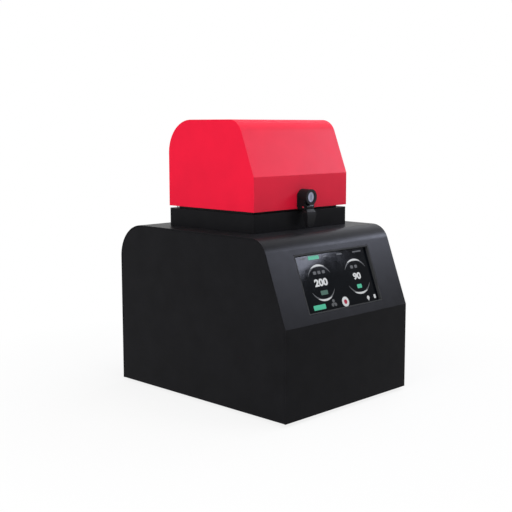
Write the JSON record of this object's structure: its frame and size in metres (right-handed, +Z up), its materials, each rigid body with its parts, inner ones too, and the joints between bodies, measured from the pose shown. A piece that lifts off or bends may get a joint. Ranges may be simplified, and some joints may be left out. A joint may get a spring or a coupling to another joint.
{
  "type": "resin wash station",
  "caption": "Bench-top 3-D print resin washer: black sheet-metal body with slanted touch panel, hinged red lid over a stirred wash tank with a lift-out basket.",
  "frame": {"origin": "centre of the bounding box's footprint, on the surface that the feet stand on", "axes": "+X to the right seen from the front, +Y to the back, +Z up"},
  "size_m": [0.27, 0.358, 0.4135],
  "materials": {
    "body_black": "fine-textured satin black powder coat",
    "tray_black": "satin black powder coat",
    "lid_red": "smooth semi-gloss red",
    "lid_frame_steel": "brushed",
    "black_rubber": "matt",
    "steel_screw": "satin",
    "stainless": "brushed stainless",
    "tank_plastic": "milky polypropylene",
    "black_plastic": "fine moulded texture",
    "touch_glass": "polished",
    "panel_electronics": "solder mask",
    "zinc_sheet": "zinc plate",
    "guard_wire": "satin black",
    "motor_can": "satin",
    "ground_steel": "ground",
    "hub_aluminium": "turned",
    "magnet_nickel": "nickel plate",
    "impeller_plastic": "moulded",
    "hinge_black": "black",
    "lock_black": "semi-gloss black zinc",
    "lock_silver": "satin chrome",
    "lock_steel": "zinc plate",
    "cable_black": "matt"
  },
  "bodies": {
    "root": {"casing_wrap": "body_black", "left_side_panel": "body_black", "right_side_panel": "body_black", "base_tray": "tray_black", "rubber_feet": "black_rubber", "foot_screws": "steel_screw", "panel_screws": "steel_screw", "collar": "body_black", "collar_gasket": "black_rubber", "tank_well": "stainless", "display_bezel": "black_plastic", "touch_glass": "touch_glass", "lcd_module": "panel_electronics", "display_bracket": "zinc_sheet", "controller_board": "panel_electronics", "board_standoffs": "motor_can", "board_screws": "steel_screw", "power_supply": "zinc_sheet", "inlet_socket": "black_plastic", "inlet_screws": "steel_screw", "switch_housing": "black_plastic", "fan_frame": "black_plastic", "fan_guard": "guard_wire", "fan_screws": "steel_screw", "motor_body": "motor_can", "motor_plate": "zinc_sheet", "motor_standoffs": "motor_can", "motor_screws": "steel_screw", "lock_keeper": "lock_steel", "lid_sensor": "black_plastic", "hinge_fixed_leaves": "hinge_black", "hinge_pins": "ground_steel", "hinge_collar_screws": "steel_screw", "mains_harness": "cable_black", "motor_harness": "cable_black", "display_harness": "cable_black"},
    "lid": {"lid_shell": "lid_red", "lid_frame": "lid_frame_steel", "hinge_lid_leaves": "hinge_black", "hinge_lid_screws": "steel_screw", "lock_housing": "lock_black", "lock_nut": "lock_steel", "pull_pin": "ground_steel", "sensor_magnet": "magnet_nickel"},
    "lock": {"lock_plug": "lock_silver", "lock_cam": "lock_steel"},
    "pull": {"pull_handle": "lock_black"},
    "tank": {"wash_tank": "tank_plastic", "impeller_pivot": "ground_steel"},
    "impeller": {"impeller": "impeller_plastic", "impeller_magnets": "magnet_nickel"},
    "drive": {"motor_shaft": "ground_steel", "drive_hub": "hub_aluminium", "drive_magnets": "magnet_nickel"},
    "basket": {"basket": "stainless"},
    "bail": {"basket_bail": "stainless"},
    "fan": {"fan_rotor": "black_plastic"},
    "rocker": {"switch_rocker": "black_plastic"}
  },
  "joints": [
    {"name": "lid_hinge", "type": "hinge", "parent": "root", "child": "lid", "pos_m": [0, 0.1003, 0.28175], "axis": [-1, 0, 0], "range_deg": [0, 95]},
    {"name": "lock_turn", "type": "hinge", "parent": "lid", "child": "lock", "pos_m": [0, -0.0862, 0.301], "axis": [0, -1, 0], "range_deg": [0, 90]},
    {"name": "pull_swing", "type": "hinge", "parent": "lid", "child": "pull", "pos_m": [0, -0.0972, 0.2865], "axis": [-1, 0, 0], "range_deg": [0, 60]},
    {"name": "tank_lift", "type": "slide", "parent": "root", "child": "tank", "axis": [0, 0, 1], "range_m": [0, 0.02]},
    {"name": "basket_lift", "type": "slide", "parent": "tank", "child": "basket", "axis": [0, 0, 1], "range_m": [0, 0.04]},
    {"name": "bail_swing", "type": "hinge", "parent": "basket", "child": "bail", "pos_m": [0, 0.00505, 0.2735], "axis": [-1, 0, 0], "range_deg": [0, 180]},
    {"name": "drive_spin", "type": "hinge", "parent": "root", "child": "drive", "pos_m": [0, 0.00505, 0.075], "axis": [0, 0, 1], "continuous": true},
    {"name": "impeller_spin", "type": "hinge", "parent": "tank", "child": "impeller", "pos_m": [0, 0.00505, 0.095], "axis": [0, 0, 1], "continuous": true},
    {"name": "fan_spin", "type": "hinge", "parent": "root", "child": "fan", "pos_m": [0.06, 0.161, 0.14], "axis": [0, 1, 0], "continuous": true},
    {"name": "rocker_rock", "type": "hinge", "parent": "root", "child": "rocker", "pos_m": [-0.07, 0.173, 0.084], "axis": [-1, 0, 0], "range_deg": [0, 12]}
  ],
  "couplings": [
    {"joint": "impeller_spin", "follows": "drive_spin", "ratio": 1}
  ]
}
